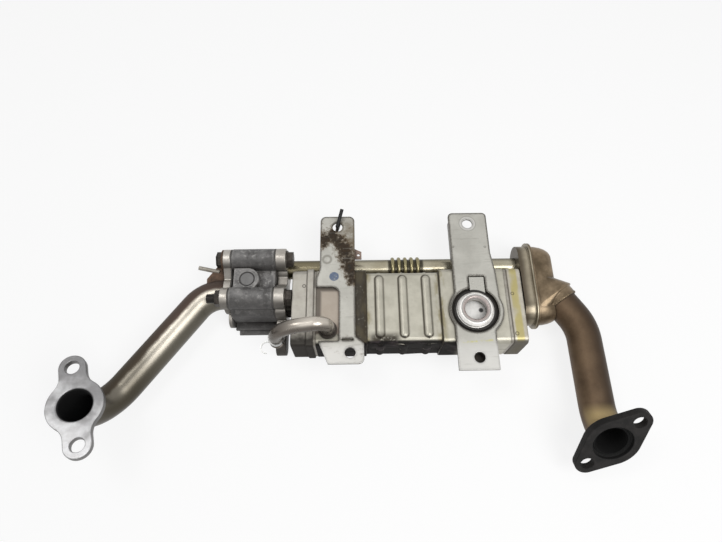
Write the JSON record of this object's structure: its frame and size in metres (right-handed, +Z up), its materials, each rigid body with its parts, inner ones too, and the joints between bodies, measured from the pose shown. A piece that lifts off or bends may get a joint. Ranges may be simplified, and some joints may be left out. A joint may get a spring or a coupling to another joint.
{
  "type": "exhaust gas cooler",
  "caption": "Finned-panel exhaust gas cooler with bypass pipe and bellows, flap valve housing, two bent flanged gas pipes, coolant pipe and port, and sheet brackets.",
  "frame": {"origin": "middle of the flat underside of the coolant jacket, on the bench", "axes": "+X along the core from the valve end to the hot end, +Y towards the bypass pipe, +Z up from the bench through the bracket side"},
  "size_m": [0.4602, 0.2268, 0.0704],
  "materials": {
    "shell_steel": "satin, lightly stained",
    "core_steel": "plain mill finish",
    "heat_tinted_steel": "brown heat tint",
    "black_steel": "dark, dry",
    "straw_steel": "straw heat tint",
    "cast_grey": "rough cast grey",
    "gasket_sheet": "dull coated sheet",
    "bush_bronze": "plain bronze",
    "flange_steel": "dull steel",
    "pipe_steel": "satin, warm grey",
    "bright_flange": "bright machined",
    "dark_fastener": "dark oxidised",
    "brown_steel": "rusted brown",
    "braze_dark": "dark braze",
    "bright_spring": "bright wire",
    "port_steel": "turned steel",
    "bracket_steel": "satin sheet",
    "black_plastic": "black"
  },
  "bodies": {
    "cooler": {"jacket_upper": "shell_steel", "jacket_lower": "shell_steel", "inlet_header": "core_steel", "outlet_header": "core_steel", "gas_tubes": "core_steel", "inlet_tank": "shell_steel", "outlet_tank": "shell_steel", "inlet_pan": "heat_tinted_steel", "inlet_cap": "heat_tinted_steel", "exhaust_pipe": "heat_tinted_steel", "exhaust_flange": "black_steel", "bypass_pipe": "straw_steel", "cooler_flange": "cast_grey", "cooler_gasket": "gasket_sheet", "valve_housing": "cast_grey", "upper_bush": "bush_bronze", "lower_bush": "bush_bronze", "shaft_plug": "cast_grey", "pipe_gasket": "gasket_sheet", "pipe_flange": "flange_steel", "outlet_pipe": "pipe_steel", "outlet_flange": "bright_flange", "housing_bolts": "dark_fastener", "housing_nuts": "dark_fastener", "pipe_stay": "brown_steel", "stay_pin": "brown_steel", "coolant_inlet_pipe": "pipe_steel", "coolant_collar": "braze_dark", "hose_clip": "bright_spring", "coolant_outlet_port": "port_steel", "cold_bracket": "bracket_steel", "hot_bracket": "bracket_steel", "tie_clip": "black_plastic", "harness_tab": "brown_steel"},
    "valve": {"valve_shaft": "core_steel", "valve_flap": "core_steel", "drive_lever": "core_steel"}
  },
  "joints": [
    {"name": "bypass_flap", "type": "hinge", "parent": "cooler", "child": "valve", "pos_m": [-0.1433, 0.026, 0], "axis": [0, 0, 1], "range_deg": [0, 100]}
  ]
}
